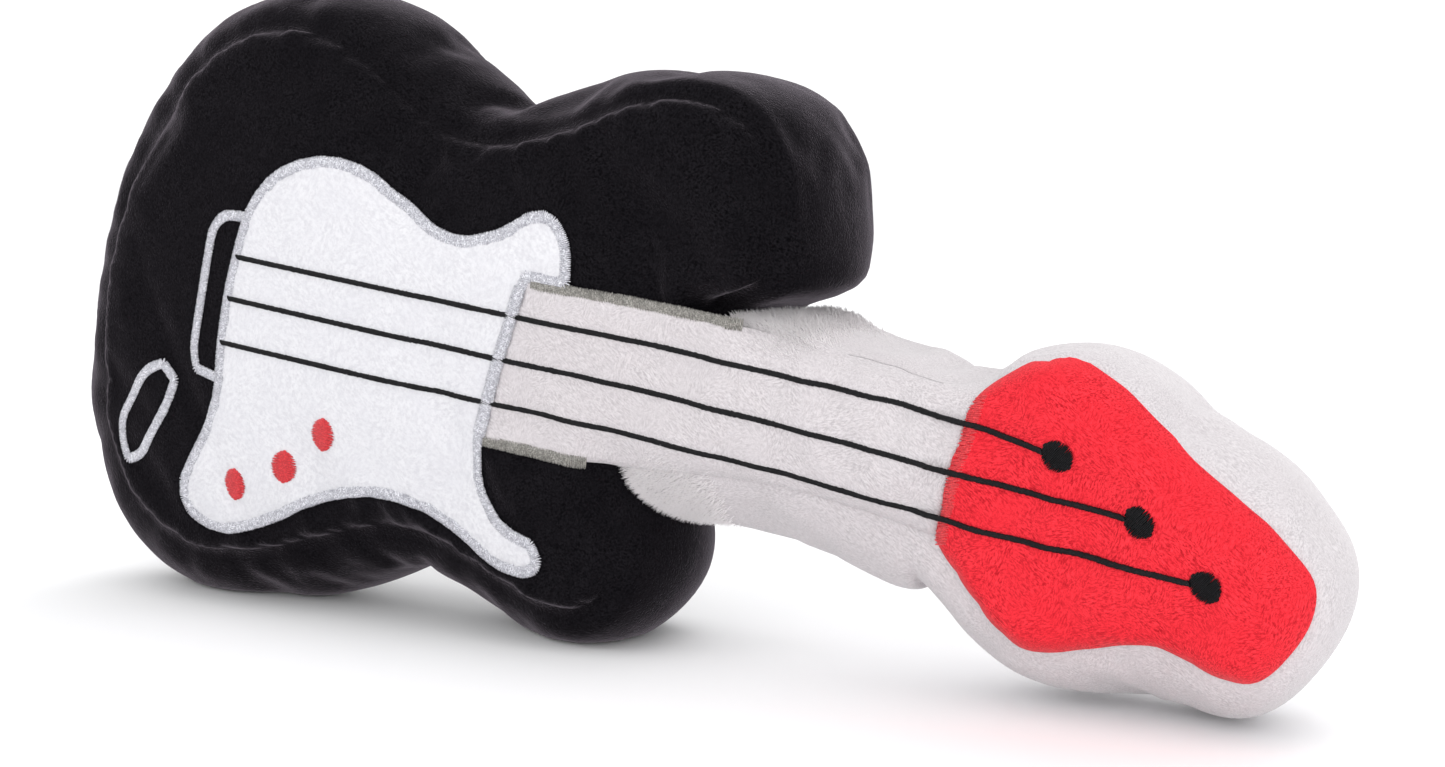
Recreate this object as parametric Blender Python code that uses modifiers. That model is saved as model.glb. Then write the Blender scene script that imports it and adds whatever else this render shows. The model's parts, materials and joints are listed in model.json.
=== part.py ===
"""Stuffed toy electric guitar, standing on its lower edge, its front facing -Y and its head towards +X."""
from math import atan2, cos, radians, sin, tan

import bmesh
import bpy
from mathutils import Vector

# Driving dimensions, in metres. The pattern lies flat: x runs along the neck towards the head,
# y runs across the body, and z points out of the front face.
body_length = 0.270
body_width = 0.190
neck_root_width = 0.056
neck_root_centre = -0.001
nut_width = 0.046
nut_centre_x = 0.335
nut_centre_y = -0.003
nut_slant = radians(8)
head_length = 0.110
head_width = 0.085
gusset_flat = 0.0326
gusset_bulge = 0.019
cloth = 0.002
patch_cloth = 0.0015
satin_height = 0.001
satin_width = 0.0036
border_width = 0.0042
nut_stitch_width = 0.005
string_width = 0.0022
string_spacing = 0.0147
knob_dot_radius = 0.0038
tuner_dot_radius = 0.0044
touching_gap = 0.0003
seam_allowance = 0.0009
filling_clearance = 0.0015
squash = 0.002
neck_flex_x = 0.277
flex_relief = radians(23)
tongue_margin = 0.0010
curve_steps = 3
sharp_angle = radians(35)

# Levels above the middle of the toy's thickness.
filling_face = gusset_flat / 2 + gusset_bulge - cloth - filling_clearance
panel_low = filling_face + filling_clearance
panel_high = panel_low + cloth
patch_low = panel_high + touching_gap
patch_high = patch_low + patch_cloth
satin_low = patch_high + touching_gap
satin_high = satin_low + satin_height
string_low = satin_high + touching_gap
string_high = string_low + satin_height


def body_point(along, across):
    """A point given as shares of the body's length and half width."""
    return Vector((along * body_length, across * body_width / 2))


def head_point(along, across):
    """A point given as shares of the head's length and width, from the middle of the nut."""
    return Vector((nut_centre_x + along * head_length, nut_centre_y + across * head_width))


def nut_point(across, shift=0.0):
    """A point on the nut line, across metres from its middle, moved along the neck by shift."""
    return Vector((nut_centre_x + shift + across * tan(nut_slant), nut_centre_y + across))


neck_upper_edge = neck_root_centre + neck_root_width / 2
neck_lower_edge = neck_root_centre - neck_root_width / 2
upper_junction = Vector((0.975 * body_length, neck_upper_edge))
lower_junction = Vector((0.790 * body_length, neck_lower_edge))
upper_nut = nut_point(nut_width / 2)
lower_nut = nut_point(-nut_width / 2)

# Outlines run clockwise seen from the front. The body's and the head's start and end at the neck.
body_outline = [
    lower_junction,
    body_point(0.82, -0.50),
    body_point(0.835, -0.68),
    body_point(0.80, -0.83),
    body_point(0.73, -0.86),
    body_point(0.63, -0.78),
    body_point(0.52, -0.72),
    body_point(0.40, -0.84),
    body_point(0.26, -0.99),
    body_point(0.14, -0.99),
    body_point(0.04, -0.78),
    body_point(0.00, -0.32),
    body_point(0.01, 0.12),
    body_point(0.09, 0.66),
    body_point(0.22, 0.98),
    body_point(0.36, 0.99),
    body_point(0.46, 0.84),
    body_point(0.56, 0.72),
    body_point(0.68, 0.80),
    body_point(0.83, 0.98),
    body_point(0.95, 0.92),
    body_point(1.00, 0.68),
    upper_junction,
]
head_outline = [
    upper_nut,
    head_point(0.09, 0.34),
    head_point(0.22, 0.45),
    head_point(0.32, 0.45),
    head_point(0.63, 0.20),
    head_point(0.95, -0.06),
    head_point(0.99, -0.14),
    head_point(0.93, -0.40),
    head_point(0.86, -0.49),
    head_point(0.77, -0.49),
    head_point(0.61, -0.44),
    head_point(0.43, -0.51),
    head_point(0.25, -0.57),
    head_point(0.08, -0.41),
    lower_nut,
]
pickguard_outline = [
    Vector((0.634 * body_length, neck_lower_edge - tongue_margin)),
    body_point(0.640, -0.46),
    body_point(0.675, -0.57),
    body_point(0.735, -0.66),
    body_point(0.715, -0.715),
    body_point(0.630, -0.65),
    body_point(0.525, -0.565),
    body_point(0.410, -0.64),
    body_point(0.310, -0.80),
    body_point(0.230, -0.86),
    body_point(0.185, -0.78),
    body_point(0.205, -0.60),
    body_point(0.235, -0.38),
    body_point(0.238, -0.16),
    body_point(0.255, 0.18),
    body_point(0.280, 0.38),
    body_point(0.340, 0.52),
    body_point(0.425, 0.54),
    body_point(0.505, 0.44),
    body_point(0.575, 0.365),
    body_point(0.640, 0.41),
    body_point(0.700, 0.50),
    body_point(0.730, 0.43),
    Vector((0.740 * body_length, neck_upper_edge + tongue_margin)),
    Vector((0.685 * body_length, neck_upper_edge + tongue_margin)),
]
bridge_path = [
    body_point(0.240, 0.275),
    body_point(0.222, 0.270),
    body_point(0.208, 0.21),
    body_point(0.190, -0.23),
    body_point(0.197, -0.29),
    body_point(0.217, -0.30),
]
jack_path = [
    body_point(0.132, -0.305),
    body_point(0.155, -0.37),
    body_point(0.140, -0.46),
    body_point(0.085, -0.70),
    body_point(0.066, -0.66),
    body_point(0.068, -0.55),
    body_point(0.100, -0.38),
]
knob_centres = [
    body_point(0.403, -0.415),
    body_point(0.343, -0.570),
    body_point(0.264, -0.685),
]
string_starts = [
    body_point(0.256, 0.155),
    body_point(0.247, 0.000),
    body_point(0.240, -0.165),
]
tuner_centres = [
    head_point(0.300, 0.135),
    head_point(0.535, -0.025),
    head_point(0.730, -0.180),
]

end_seam = min(body_outline, key=lambda point: point.x)

# The toy leans until the lower bout and the head are level, and its own weight flattens them.
lower_bout_low = body_point(0.20, -1.0)
head_low = head_point(0.82, -0.50)
lean = atan2(head_low.y - lower_bout_low.y, head_low.x - lower_bout_low.x)
floor_drop = lower_bout_low.x * sin(lean) - lower_bout_low.y * cos(lean) + gusset_bulge - squash

for old in list(bpy.data.objects):
    bpy.data.objects.remove(old)

parts = bpy.data.collections.new("toy_electric_guitar")
guides = bpy.data.collections.new("cutters_and_guides")
bpy.context.scene.collection.children.link(parts)
bpy.context.scene.collection.children.link(guides)


def make_material(name, colour, roughness):
    material = bpy.data.materials.new(name)
    material.use_nodes = True
    shader = material.node_tree.nodes["Principled BSDF"]
    shader.inputs["Base Color"].default_value = (*colour, 1)
    shader.inputs["Roughness"].default_value = roughness
    shader.inputs["Metallic"].default_value = 0.0
    material.diffuse_color = (*colour, 1)
    return material


black_plush = make_material("black_plush", (0.012, 0.011, 0.013), 0.95)
white_plush = make_material("white_plush", (0.80, 0.80, 0.82), 0.9)
grey_plush = make_material("grey_plush", (0.48, 0.46, 0.47), 0.9)
red_plush = make_material("red_plush", (0.62, 0.025, 0.035), 0.9)
fibre = make_material("fibre_filling", (0.85, 0.85, 0.83), 1.0)
silver_thread = make_material("silver_thread", (0.60, 0.60, 0.62), 0.4)
black_thread = make_material("black_thread", (0.015, 0.015, 0.017), 0.5)
red_thread = make_material("red_thread", (0.50, 0.02, 0.03), 0.5)

stand = bpy.data.objects.new("stand", None)
stand.rotation_euler = (radians(90), lean, 0)
parts.objects.link(stand)


def place(name, mesh, material, collection=parts):
    """Makes the object under the stand, with its own copy of the material."""
    obj = bpy.data.objects.new(name, mesh)
    collection.objects.link(obj)
    obj.parent = stand
    mesh.shade_smooth()
    mesh.set_sharp_from_angle(angle=sharp_angle)
    if material is not None:
        own = material.copy()
        own.name = name + "_" + material.name
        mesh.materials.append(own)
    return obj


def make_curve(name, points, closed, corners=()):
    """A smooth curve through the points, sharp at the corners, which are given by their index."""
    data = bpy.data.curves.new(name, "CURVE")
    data.dimensions = "2D"
    data.resolution_u = curve_steps
    spline = data.splines.new("BEZIER")
    spline.bezier_points.add(len(points) - 1)
    spline.use_cyclic_u = closed
    for index, (knot, point) in enumerate(zip(spline.bezier_points, points)):
        knot.co = (point.x, point.y, 0)
        knot.handle_left_type = "VECTOR" if index in corners else "AUTO"
        knot.handle_right_type = "VECTOR" if index in corners else "AUTO"
    return data


def to_mesh(data, name):
    """The curve's surface as a welded mesh with its faces pointing outwards."""
    shape = bpy.data.objects.new(name + "_curve", data)
    guides.objects.link(shape)
    evaluated = shape.evaluated_get(bpy.context.evaluated_depsgraph_get())
    mesh = bpy.data.meshes.new_from_object(evaluated)
    bpy.data.objects.remove(shape)
    mesh.name = name
    mesh.materials.clear()
    bm = bmesh.new()
    bm.from_mesh(mesh)
    bmesh.ops.remove_doubles(bm, verts=bm.verts, dist=0.00001)
    bmesh.ops.recalc_face_normals(bm, faces=bm.faces)
    bm.to_mesh(mesh)
    bm.free()
    return mesh


def plate(name, outline, low, high, material, corners=(), inset=0.0, collection=parts):
    """A flat piece cut to an outline, lying between two levels."""
    data = make_curve(name, outline, True, corners)
    data.fill_mode = "BOTH"
    data.extrude = (high - low) / 2
    data.offset = -inset
    obj = place(name, to_mesh(data, name), material, collection)
    obj.location.z = (low + high) / 2
    return obj


def press_on_floor(mesh, clearance):
    """Flattens what would come nearer than the clearance to the floor that the toy stands on."""
    for vertex in mesh.vertices:
        height = vertex.co.y * cos(lean) - vertex.co.x * sin(lean) + floor_drop
        lift = max(0.0, clearance - height)
        vertex.co += Vector((-sin(lean), cos(lean), 0)) * lift


def cushion(name, outline, corners):
    """The filling inside a band: flat faces with the outline's shape and sides that bulge past it."""
    data = make_curve(name, outline, True, corners)
    data.fill_mode = "BOTH"
    data.extrude = gusset_flat / 2
    data.bevel_depth = gusset_bulge - cloth - filling_clearance
    data.bevel_resolution = 2
    mesh = to_mesh(data, name)
    press_on_floor(mesh, cloth + filling_clearance)
    return place(name, mesh, fibre)


def make_profile(name, points, closed):
    """The cross-section of a swept piece: x points to the inside of its outline and y points up."""
    data = bpy.data.curves.new(name, "CURVE")
    spline = data.splines.new("POLY")
    spline.points.add(len(points) - 1)
    spline.use_cyclic_u = closed
    for knot, point in zip(spline.points, points):
        knot.co = (point[0], point[1], 0, 1)
    profile = bpy.data.objects.new(name, data)
    profile.hide_render = True
    profile.display_type = "WIRE"
    guides.objects.link(profile)
    return profile


def band(name, path, material):
    """A cloth wall from the back seam to the front seam that bulges outwards and rests on the floor."""
    angles = [radians(a) for a in (90, 60, 30, 0)]
    upper = [(-gusset_bulge * cos(a), gusset_flat / 2 + gusset_bulge * sin(a)) for a in angles]
    lower = [(x, -y) for x, y in upper[::-1]]
    data = make_curve(name, path, False, (0, len(path) - 1))
    data.bevel_mode = "OBJECT"
    data.bevel_object = make_profile(name + "_profile", upper + lower, closed=False)
    mesh = to_mesh(data, name)
    press_on_floor(mesh, 0.0)
    obj = place(name, mesh, material)
    wall = obj.modifiers.new("cloth", "SOLIDIFY")
    wall.thickness = cloth
    wall.offset = -1
    return obj


def ribbon(name, path, width, low, material, closed=False, corners=()):
    """A flat run of satin stitch or a string, centred on its path and standing on a level."""
    half = width / 2
    section = [(-half, 0), (half, 0), (half, satin_height), (-half, satin_height)]
    data = make_curve(name, path, closed, corners)
    data.bevel_mode = "OBJECT"
    data.bevel_object = make_profile(name + "_profile", section, closed=True)
    data.use_fill_caps = not closed
    obj = place(name, to_mesh(data, name), material)
    obj.location.z = low
    return obj


def disc(name, centre, radius, low, high, material):
    """A round embroidered dot."""
    mesh = bpy.data.meshes.new(name)
    bm = bmesh.new()
    bmesh.ops.create_cone(
        bm, cap_ends=True, segments=20, radius1=radius, radius2=radius, depth=high - low
    )
    bm.to_mesh(mesh)
    bm.free()
    obj = place(name, mesh, material)
    obj.location = (centre.x, centre.y, (low + high) / 2)
    return obj


def apply_boolean(obj, tool, operation="DIFFERENCE"):
    modifier = obj.modifiers.new(operation.lower() + "_" + tool.name, "BOOLEAN")
    modifier.operation = operation
    modifier.object = tool
    tool.hide_render = True
    tool.display_type = "WIRE"


def half_space(name, point, side, tilt=0.0, turn=0.0):
    """A large block whose near face holds the point. It lies ahead of it on side 1, behind on side -1."""
    mesh = bpy.data.meshes.new(name)
    bm = bmesh.new()
    size = 3 * body_length
    bmesh.ops.create_cube(bm, size=size)
    bmesh.ops.translate(bm, verts=bm.verts, vec=(side * size / 2, 0, 0))
    bm.to_mesh(mesh)
    bm.free()
    obj = place(name, mesh, None, guides)
    obj.location = (point.x, point.y, 0)
    obj.rotation_euler = (0, tilt, turn)
    return obj


# Cutters that the skins and the filling share.
outer_reach = gusset_bulge + touching_gap
body_ends = (0, len(body_outline) - 1)
head_ends = (0, len(head_outline) - 1)
into_body = Vector((-cloth, 0))
neck_zone = plate(
    "neck_zone",
    [
        lower_junction + into_body + Vector((0, -outer_reach)),
        lower_junction + into_body,
        upper_junction + into_body,
        upper_junction + into_body + Vector((0, outer_reach)),
        Vector((nut_centre_x, upper_junction.y + outer_reach)),
        Vector((nut_centre_x, lower_junction.y - outer_reach)),
    ],
    -body_width,
    body_width,
    None,
    corners=range(6),
    collection=guides,
)
body_zone = plate(
    "body_zone", body_outline, -body_width, body_width, None, body_ends, -touching_gap, guides
)
before_nut = half_space("before_nut", nut_point(0, touching_gap / 2), -1, turn=-nut_slant)
after_nut = half_space("after_nut", nut_point(0, -touching_gap / 2), 1, turn=-nut_slant)


def make_body():
    """The black front and back panels, the band between them and the filling."""
    plate("body_front_panel", body_outline, panel_low, panel_high, black_plush, body_ends, seam_allowance)
    plate("body_back_panel", body_outline, -panel_high, -panel_low, black_plush, body_ends, seam_allowance)
    for name, side in (("body_lower_side_band", 1), ("body_upper_side_band", -1)):
        side_band = band(name, body_outline, black_plush)
        apply_boolean(side_band, neck_zone)
        meeting = end_seam - Vector((0, side * touching_gap / 2))
        apply_boolean(side_band, half_space(name + "_end", meeting, side, turn=radians(90)))
    body_filling = cushion("body_stuffing", body_outline, body_ends)
    apply_boolean(body_filling, neck_zone)
    root_end = neck_flex_x - touching_gap / 2
    neck_root = plate(
        "neck_root",
        [
            lower_junction + 3 * into_body + Vector((0, cloth)),
            upper_junction + 3 * into_body + Vector((0, -cloth)),
            Vector((root_end, upper_junction.y - cloth)),
            Vector((root_end, lower_junction.y + cloth)),
        ],
        -filling_face,
        filling_face,
        None,
        corners=range(4),
        collection=guides,
    )
    apply_boolean(body_filling, neck_root, "UNION")


def make_pickguard():
    """The white panel sewn on the front, its satin borders and the three dots for the knobs."""
    last = len(pickguard_outline) - 1
    square_corners = (0, last - 1, last)
    plate("pickguard_applique", pickguard_outline, patch_low, patch_high, white_plush, square_corners)
    border = pickguard_outline[:-1]
    ribbon("pickguard_border_stitching", border, border_width, satin_low, silver_thread)
    for number, centre in enumerate(knob_centres, 1):
        disc("knob_dot_" + str(number), centre, knob_dot_radius, satin_low, satin_high, red_thread)
    tongue_top = pickguard_outline[-1]
    tongue_bottom = pickguard_outline[0]
    margin = (border_width + touching_gap) / (tongue_top - tongue_bottom).length
    column = [tongue_top.lerp(tongue_bottom, margin), tongue_bottom.lerp(tongue_top, margin)]
    ribbon("neck_end_stitching", column, border_width, satin_low, silver_thread, corners=(0, 1))


def make_embroidered_outlines():
    """The satin outlines of the bridge and the jack plate, sewn straight on the front panel."""
    ribbon("bridge_outline_stitching", bridge_path, satin_width, patch_low, silver_thread)
    ribbon("jack_outline_stitching", jack_path, satin_width, patch_low, silver_thread, closed=True)


def make_neck():
    """The grey neck, whose front panel runs on as a tongue over the body up to the pickguard."""
    pickguard_gap = Vector((touching_gap, 0))
    tongue_top = Vector((pickguard_outline[-1].x, neck_root_centre + neck_root_width / 2))
    tongue_bottom = Vector((pickguard_outline[0].x, neck_root_centre - neck_root_width / 2))
    front = [
        tongue_bottom + pickguard_gap,
        tongue_top + pickguard_gap,
        upper_junction,
        nut_point(nut_width / 2, -touching_gap),
        nut_point(-nut_width / 2, -touching_gap),
        lower_junction,
    ]
    plate("neck_front_panel", front, patch_low, patch_high, grey_plush, range(6))
    back = [lower_junction, upper_junction, upper_nut, lower_nut]
    plate("neck_back_panel", back, -panel_high, -panel_low, grey_plush, range(4), seam_allowance)

    overrun = 0.1
    upper_run = [upper_junction.lerp(upper_nut, -overrun), upper_nut.lerp(upper_junction, -overrun)]
    lower_run = [lower_nut.lerp(lower_junction, -overrun), lower_junction.lerp(lower_nut, -overrun)]
    for name, run in (("neck_upper_side_band", upper_run), ("neck_lower_side_band", lower_run)):
        side_band = band(name, run, grey_plush)
        apply_boolean(side_band, body_zone)
        apply_boolean(side_band, after_nut)

    flex_top = upper_junction.lerp(
        upper_nut, (neck_flex_x - upper_junction.x) / (upper_nut.x - upper_junction.x)
    )
    flex_bottom = lower_junction.lerp(
        lower_nut, (neck_flex_x - lower_junction.x) / (lower_nut.x - lower_junction.x)
    )
    neck_filling = cushion("neck_stuffing", [flex_top, upper_nut, lower_nut, flex_bottom], range(4))
    root = Vector((neck_flex_x + touching_gap / 2, 0))
    nut = nut_point(0, -touching_gap / 2)
    for face, tilt in (("front", -flex_relief), ("back", flex_relief)):
        apply_boolean(neck_filling, half_space("root_relief_" + face, root, -1, tilt))
        apply_boolean(neck_filling, half_space("nut_relief_" + face, nut, 1, tilt, -nut_slant))

    bar_inset = border_width / 2 + satin_width / 2 + touching_gap
    bar_clearance = border_width / 2 + satin_width
    upper_bar = [
        Vector((tongue_top.x + bar_clearance, tongue_top.y - bar_inset)),
        Vector((upper_junction.x, upper_junction.y - bar_inset)),
    ]
    lower_bar = [
        Vector((tongue_bottom.x + bar_clearance, tongue_bottom.y + bar_inset)),
        Vector((lower_junction.x, lower_junction.y + bar_inset)),
    ]
    for name, bar in (("upper_neck_edge_stitching", upper_bar), ("lower_neck_edge_stitching", lower_bar)):
        ribbon(name, bar, satin_width, satin_low, silver_thread, corners=(0, 1))


def make_head():
    """The red head panel in its grey band, with the satin run at the nut and the tuner dots."""
    plate("head_front_panel", head_outline, patch_low, patch_high, red_plush, head_ends, touching_gap)
    plate("head_back_panel", head_outline, -panel_high, -panel_low, grey_plush, head_ends, seam_allowance)
    side_band = band("head_side_band", head_outline, grey_plush)
    apply_boolean(side_band, before_nut)
    head_filling = cushion("head_stuffing", head_outline, head_ends)
    apply_boolean(head_filling, before_nut)
    reach = nut_width / 2 - satin_width / 2
    behind_edge = nut_stitch_width / 2 + 2 * touching_gap
    nut_run = [nut_point(reach, behind_edge), nut_point(-reach, behind_edge)]
    ribbon("nut_stitching", nut_run, nut_stitch_width, satin_low, red_thread, corners=(0, 1))
    for number, centre in enumerate(tuner_centres, 1):
        disc("tuner_dot_" + str(number), centre, tuner_dot_radius, satin_low, string_high, black_thread)


def make_strings():
    """Three embroidered strings from the bridge side of the pickguard to the tuner dots."""
    for number, (start, tuner) in enumerate(zip(string_starts, tuner_centres), 1):
        across = (2 - number) * string_spacing
        at_flex = Vector((neck_flex_x, neck_root_centre + across))
        at_nut = nut_point(across)
        short = (tuner_dot_radius + touching_gap) / (tuner - at_nut).length
        path = [start, at_flex, at_nut, tuner.lerp(at_nut, short)]
        ribbon("string_" + str(number), path, string_width, string_low, black_thread)


def settle_on_floor():
    """Moves the stand so that the origin is under the middle of the toy, at the floor."""
    bpy.context.view_layer.update()
    graph = bpy.context.evaluated_depsgraph_get()
    corners = [
        obj.matrix_world @ Vector(corner)
        for obj in parts.objects
        if obj.type == "MESH"
        for corner in obj.evaluated_get(graph).bound_box
    ]
    for axis in (0, 1):
        values = [corner[axis] for corner in corners]
        stand.location[axis] = -(min(values) + max(values)) / 2
    stand.location.z = floor_drop


make_body()
make_pickguard()
make_embroidered_outlines()
make_neck()
make_head()
make_strings()
settle_on_floor()
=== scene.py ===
import json
from math import ceil, cos, exp, hypot, pi, radians, sin, sqrt

import bmesh
import bpy
import numpy as np
from mathutils import Euler, Matrix, Vector, noise
from mathutils.bvhtree import BVHTree
from mathutils.geometry import delaunay_2d_cdt
from mathutils.kdtree import KDTree

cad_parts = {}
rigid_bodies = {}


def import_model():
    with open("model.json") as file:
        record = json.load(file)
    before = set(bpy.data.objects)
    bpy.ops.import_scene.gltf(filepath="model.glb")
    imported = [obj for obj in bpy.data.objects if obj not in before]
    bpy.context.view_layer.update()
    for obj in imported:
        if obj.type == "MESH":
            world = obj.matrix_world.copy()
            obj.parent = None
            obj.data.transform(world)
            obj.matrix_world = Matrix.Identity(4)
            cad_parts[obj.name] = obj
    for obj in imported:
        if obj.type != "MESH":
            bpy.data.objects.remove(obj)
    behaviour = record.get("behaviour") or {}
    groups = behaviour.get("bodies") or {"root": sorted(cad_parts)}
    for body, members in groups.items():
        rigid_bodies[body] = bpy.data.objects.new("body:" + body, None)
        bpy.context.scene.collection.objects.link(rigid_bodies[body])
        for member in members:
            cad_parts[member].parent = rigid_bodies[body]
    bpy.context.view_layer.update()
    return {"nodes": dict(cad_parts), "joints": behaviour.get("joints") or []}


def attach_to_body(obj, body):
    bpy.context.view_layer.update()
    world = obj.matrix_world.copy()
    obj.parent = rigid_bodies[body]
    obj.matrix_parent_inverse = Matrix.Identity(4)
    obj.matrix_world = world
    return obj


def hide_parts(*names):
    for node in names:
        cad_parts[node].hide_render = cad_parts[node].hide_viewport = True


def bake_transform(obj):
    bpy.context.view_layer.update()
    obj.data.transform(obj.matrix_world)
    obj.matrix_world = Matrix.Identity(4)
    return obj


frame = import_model()
scene = bpy.context.scene

# Everything is drawn flat, as on the sewing pattern: x along the neck from the body's end,
# y across it to the bass side, z out of the front. The toy leans a little as it stands.
joints = {joint["name"]: joint for joint in frame["joints"]}
hinge = joints["neck_flex"]
across = Vector(hinge["axis"]).normalized()
along = Vector((across.z, 0, -across.x))
front = Vector((0, -1, 0))
hingePlace = Vector(hinge["pos_m"])
bodyPoints = frame["nodes"]["body_front_panel"].data.vertices
leftEnd = min((point.co - hingePlace).dot(along) for point in bodyPoints)
toWorld = Matrix((along, across, front)).transposed().to_4x4()
toWorld.translation = hingePlace + along * leftEnd
toPattern = toWorld.inverted()


def patternPoints(node):
    return [toPattern @ point.co for point in frame["nodes"][node].data.vertices]


def patternBox(node):
    points = np.array(patternPoints(node))
    return Vector(points.min(0)), Vector(points.max(0))


def outlineOf(node):
    # the edge of a flat node's front face
    mesh = bmesh.new()
    mesh.from_mesh(frame["nodes"][node].data)
    mesh.transform(toPattern)
    bmesh.ops.remove_doubles(mesh, verts=mesh.verts, dist=1e-5)
    mesh.normal_update()
    facing = {face for face in mesh.faces if face.normal.z > 0.9}
    following = {}
    for face in facing:
        for loop in face.loops:
            if sum(near in facing for near in loop.edge.link_faces) == 1:
                following[loop.vert] = loop.link_loop_next.vert
    point = min(following, key=lambda vert: (vert.co.x, vert.co.y))
    points = []
    while point in following:
        points.append(Vector((point.co.x, point.co.y)))
        point = following.pop(point)
    mesh.free()
    return points


def centreLine(node):
    # the middle of a narrow ribbon that runs along the neck
    rows = []
    for point in sorted(patternPoints(node), key=lambda point: point.x):
        if not rows or point.x - rows[-1][0].x > 0.005:
            rows.append([])
        rows[-1].append(point)
    middles = [sum(row, Vector()) / len(row) for row in rows]
    return [Vector((middle.x, middle.y)) for middle in middles]


def resample(points, step, closed=True, soften=0, cornerAngle=50):
    # even spacing, with rounded joins but kept corners
    points = [Vector(point) for point in points]
    corners = []
    for i, point in enumerate(points):
        if closed or 0 < i < len(points) - 1:
            before = point - points[i - 1]
            after = points[(i + 1) % len(points)] - point
            if before.length > 1e-6 and after.length > 1e-6 and before.angle(after) > radians(cornerAngle):
                corners.append(point)
    path = points + [points[0]] if closed else points
    lengths = np.concatenate([[0], np.cumsum([(b - a).length for a, b in zip(path, path[1:])])])
    count = max(3, round(lengths[-1] / step))
    marks = np.linspace(0, lengths[-1], count + 1)
    even = np.stack([np.interp(marks, lengths, [point[k] for point in path]) for k in (0, 1)], 1)
    if closed:
        even = even[:-1]
    fixed = np.zeros(len(even), bool)
    for corner in corners:
        nearest = np.argmin(np.hypot(*(even - np.array(corner)).T))
        even[nearest] = corner
        fixed[nearest] = True
    if not closed:
        fixed[[0, -1]] = True
    for turn in range(soften):
        smooth = (np.roll(even, 1, 0) + np.roll(even, -1, 0)) / 2
        even = np.where(fixed[:, None], even, (even + smooth) / 2)
    return [Vector(point) for point in even]


def distanceTo(points, step=0.001, closed=True):
    # a function that gives the distance to a line in the pattern's plane
    dense = resample(points, step, closed, cornerAngle=181)
    tree = KDTree(len(dense))
    for i, point in enumerate(dense):
        tree.insert((point.x, point.y, 0), i)
    tree.balance()
    return lambda x, y: tree.find((x, y, 0))[2]


def smoothStep(value, low, high):
    share = min(1, max(0, (value - low) / (high - low)))
    return share * share * (3 - 2 * share)


def fillOutline(ring, spacing, edgeRoom=0.7):
    # triangles over a closed outline, with the outline's own points first
    box = np.array(ring)
    low, high = box.min(0), box.max(0)
    distance = distanceTo(ring)
    points = [Vector(point) for point in ring]
    rowHeight = spacing * sqrt(3) / 2
    for row in range(ceil((high[1] - low[1]) / rowHeight)):
        for column in range(ceil((high[0] - low[0]) / spacing) + 1):
            x = low[0] + (column + row % 2 / 2) * spacing
            y = low[1] + row * rowHeight
            if distance(x, y) > spacing * edgeRoom:
                points.append(Vector((x, y)))
    made = delaunay_2d_cdt(points, [], [list(range(len(ring)))], 1, 1e-7)
    return [points[source[0]] for source in made[3]], made[2], [source[0] for source in made[3]]


def makePiece(name, points, faces, finish=None):
    mesh = bpy.data.meshes.new(name)
    mesh.from_pydata([tuple(point) for point in points], [], [tuple(face) for face in faces])
    mesh.validate()
    piece = bpy.data.objects.new(name, mesh)
    scene.collection.objects.link(piece)
    if finish:
        mesh.materials.append(finish)
    mesh.shade_smooth()
    return piece


def faceOutwards(piece):
    mesh = bmesh.new()
    mesh.from_mesh(piece.data)
    bmesh.ops.remove_doubles(mesh, verts=mesh.verts, dist=1e-6)
    bmesh.ops.recalc_face_normals(mesh, faces=mesh.faces)
    mesh.to_mesh(piece.data)
    mesh.free()
    piece.data.shade_smooth()


def applyModifiers(piece):
    # the evaluated shape becomes the piece's plain mesh
    evaluated = piece.evaluated_get(bpy.context.evaluated_depsgraph_get())
    mesh = bpy.data.meshes.new_from_object(evaluated)
    piece.modifiers.clear()
    old = piece.data
    piece.data = mesh
    if old.users == 0:
        bpy.data.batch_remove([old])
    mesh.name = piece.name
    return piece


def readPlaces(mesh):
    places = np.zeros(len(mesh.vertices) * 3)
    mesh.vertices.foreach_get("co", places)
    return places.reshape(-1, 3)


def writePlaces(mesh, places):
    mesh.vertices.foreach_set("co", places.ravel())
    mesh.update()


class Value:
    # a shader socket that adds its own Math nodes when Python's operators are used on it
    def __init__(self, finish, socket):
        self.finish, self.socket = finish, socket

    def math(self, operation, *others):
        values = {i: value for i, value in enumerate(others)}
        return self.finish.add("ShaderNodeMath", {"operation": operation}, values)

    def __add__(self, other):
        return self.math("ADD", self, other)

    def __sub__(self, other):
        return self.math("SUBTRACT", self, other)

    def __rsub__(self, other):
        return self.math("SUBTRACT", other, self)

    def __mul__(self, other):
        return self.math("MULTIPLY", self, other)

    def __truediv__(self, other):
        return self.math("DIVIDE", self, other)

    def __pow__(self, other):
        return self.math("POWER", self, other)

    __radd__ = __add__
    __rmul__ = __mul__

    def between(self, low, high):
        return self.finish.add("ShaderNodeMapRange", {"interpolation_type": "SMOOTHSTEP"},
                               {"Value": self, "From Min": low, "From Max": high})


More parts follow.
